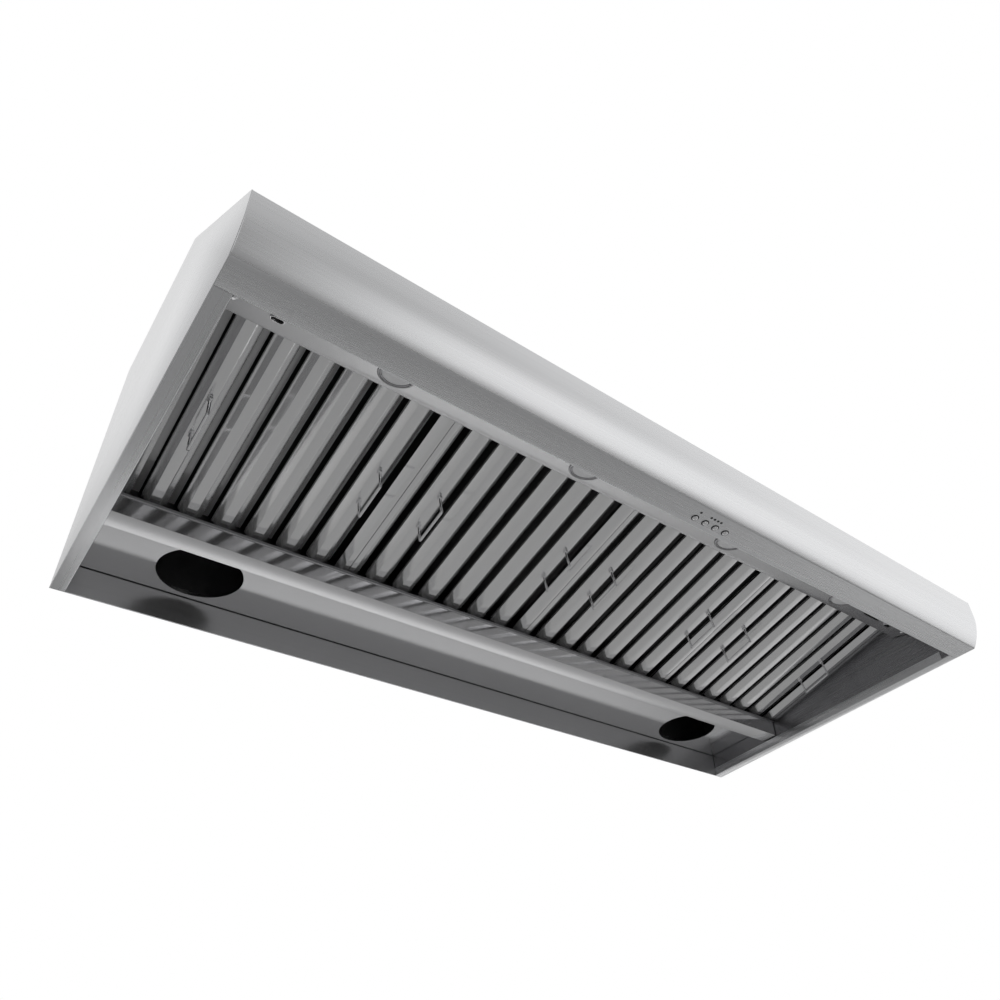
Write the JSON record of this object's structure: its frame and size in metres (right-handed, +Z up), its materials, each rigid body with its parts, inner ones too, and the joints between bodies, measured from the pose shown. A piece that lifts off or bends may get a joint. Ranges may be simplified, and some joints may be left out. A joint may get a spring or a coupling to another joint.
{
  "type": "wall mount range hood",
  "caption": "Wide sloped stainless wall mount range hood with baffle filters, folding wire handles, a drip trough, strip lights, lamp holes and a duct collar with damper flaps.",
  "frame": {"origin": "centre of the four wall screw holes, in the plane of the wall (outer face of the back panel)", "axes": "+Z up, +Y into the wall, +X to the right of a person who faces the hood; the front points to -Y"},
  "size_m": [1.3716, 0.6745, 0.5146],
  "materials": {
    "outer_steel": "fine horizontal brushed grain, satin",
    "inner_steel": "satin, weak grain",
    "dark_steel": "satin, seen in shade",
    "galvanised": "zinc coated sheet, matt",
    "chrome": "polished",
    "black_plastic": "matt",
    "board": "lacquered board",
    "lens": "frosted",
    "porcelain": "glazed"
  },
  "bodies": {
    "canopy": {"front_shell": "outer_steel", "left_side_panel": "outer_steel", "right_side_panel": "outer_steel", "top_panel": "outer_steel", "back_panel": "galvanised", "left_liner": "inner_steel", "right_liner": "inner_steel", "rear_skirt": "dark_steel", "lamp_panel": "inner_steel", "plenum_divider": "galvanised", "drip_trough": "inner_steel", "light_strip": "inner_steel", "strip_catches": "chrome", "light_bezels": "chrome", "light_lenses": "lens", "light_cans": "galvanised", "button_bezels": "black_plastic", "switch_board": "board", "indicator_guides": "black_plastic", "lamp_brackets": "galvanised", "lamp_holders": "porcelain", "control_box": "galvanised", "control_lid": "galvanised", "scroll_housing": "galvanised", "motor": "dark_steel", "motor_mount": "galvanised", "duct_collar": "galvanised", "damper_rod": "chrome", "wiring_harness": "black_plastic", "screws": "chrome"},
    "filter_1": {"filter_frame_1": "inner_steel", "front_baffles_1": "inner_steel", "rear_baffles_1": "dark_steel"},
    "handle_1_left": {"handle_1_left": "chrome"},
    "handle_1_right": {"handle_1_right": "chrome"},
    "button_1": {"button_1": "chrome"},
    "filter_2": {"filter_frame_2": "inner_steel", "front_baffles_2": "inner_steel", "rear_baffles_2": "dark_steel"},
    "handle_2_left": {"handle_2_left": "chrome"},
    "handle_2_right": {"handle_2_right": "chrome"},
    "button_2": {"button_2": "chrome"},
    "filter_3": {"filter_frame_3": "inner_steel", "front_baffles_3": "inner_steel", "rear_baffles_3": "dark_steel"},
    "handle_3_left": {"handle_3_left": "chrome"},
    "handle_3_right": {"handle_3_right": "chrome"},
    "button_3": {"button_3": "chrome"},
    "filter_4": {"filter_frame_4": "inner_steel", "front_baffles_4": "inner_steel", "rear_baffles_4": "dark_steel"},
    "handle_4_left": {"handle_4_left": "chrome"},
    "handle_4_right": {"handle_4_right": "chrome"},
    "button_4": {"button_4": "chrome"},
    "rotor": {"impeller": "galvanised", "motor_shaft": "chrome"},
    "front_flap": {"front_flap": "galvanised"},
    "rear_flap": {"rear_flap": "galvanised"}
  },
  "joints": [
    {"name": "filter_1_slide", "type": "slide", "parent": "canopy", "child": "filter_1", "axis": [0, -0.9785, 0.2063], "range_m": [0, 0.032]},
    {"name": "filter_2_slide", "type": "slide", "parent": "canopy", "child": "filter_2", "axis": [0, -0.9785, 0.2063], "range_m": [0, 0.032]},
    {"name": "filter_3_slide", "type": "slide", "parent": "canopy", "child": "filter_3", "axis": [0, -0.9785, 0.2063], "range_m": [0, 0.032]},
    {"name": "filter_4_slide", "type": "slide", "parent": "canopy", "child": "filter_4", "axis": [0, -0.9785, 0.2063], "range_m": [0, 0.032]},
    {"name": "handle_1_left_pivot", "type": "hinge", "parent": "filter_1", "child": "handle_1_left", "pos_m": [-0.61777, -0.37964, -0.23053], "axis": [0, 0.9785, -0.2063], "range_deg": [-85, 85]},
    {"name": "handle_1_right_pivot", "type": "hinge", "parent": "filter_1", "child": "handle_1_right", "pos_m": [-0.38227, -0.37964, -0.23053], "axis": [0, 0.9785, -0.2063], "range_deg": [-85, 85]},
    {"name": "handle_2_left_pivot", "type": "hinge", "parent": "filter_2", "child": "handle_2_left", "pos_m": [-0.28442, -0.37964, -0.23053], "axis": [0, 0.9785, -0.2063], "range_deg": [-85, 85]},
    {"name": "handle_2_right_pivot", "type": "hinge", "parent": "filter_2", "child": "handle_2_right", "pos_m": [-0.04893, -0.37964, -0.23053], "axis": [0, 0.9785, -0.2063], "range_deg": [-85, 85]},
    {"name": "handle_3_left_pivot", "type": "hinge", "parent": "filter_3", "child": "handle_3_left", "pos_m": [0.04893, -0.37964, -0.23053], "axis": [0, 0.9785, -0.2063], "range_deg": [-85, 85]},
    {"name": "handle_3_right_pivot", "type": "hinge", "parent": "filter_3", "child": "handle_3_right", "pos_m": [0.28442, -0.37964, -0.23053], "axis": [0, 0.9785, -0.2063], "range_deg": [-85, 85]},
    {"name": "handle_4_left_pivot", "type": "hinge", "parent": "filter_4", "child": "handle_4_left", "pos_m": [0.38227, -0.37964, -0.23053], "axis": [0, 0.9785, -0.2063], "range_deg": [-85, 85]},
    {"name": "handle_4_right_pivot", "type": "hinge", "parent": "filter_4", "child": "handle_4_right", "pos_m": [0.61777, -0.37964, -0.23053], "axis": [0, 0.9785, -0.2063], "range_deg": [-85, 85]},
    {"name": "button_1_press", "type": "slide", "parent": "canopy", "child": "button_1", "axis": [0, 0, 1], "range_m": [0, 0.0015], "stiffness_N_per_m": 400},
    {"name": "button_2_press", "type": "slide", "parent": "canopy", "child": "button_2", "axis": [0, 0, 1], "range_m": [0, 0.0015], "stiffness_N_per_m": 400},
    {"name": "button_3_press", "type": "slide", "parent": "canopy", "child": "button_3", "axis": [0, 0, 1], "range_m": [0, 0.0015], "stiffness_N_per_m": 400},
    {"name": "button_4_press", "type": "slide", "parent": "canopy", "child": "button_4", "axis": [0, 0, 1], "range_m": [0, 0.0015], "stiffness_N_per_m": 400},
    {"name": "blower_spin", "type": "hinge", "parent": "canopy", "child": "rotor", "pos_m": [0, -0.245, 0.02], "axis": [1, 0, 0], "continuous": true},
    {"name": "front_flap_pivot", "type": "hinge", "parent": "canopy", "child": "front_flap", "pos_m": [0, -0.15706, 0.147], "axis": [-1, 0, 0], "range_deg": [0, 80]},
    {"name": "rear_flap_pivot", "type": "hinge", "parent": "canopy", "child": "rear_flap", "pos_m": [0, -0.15706, 0.147], "axis": [1, 0, 0], "range_deg": [0, 80]}
  ]
}
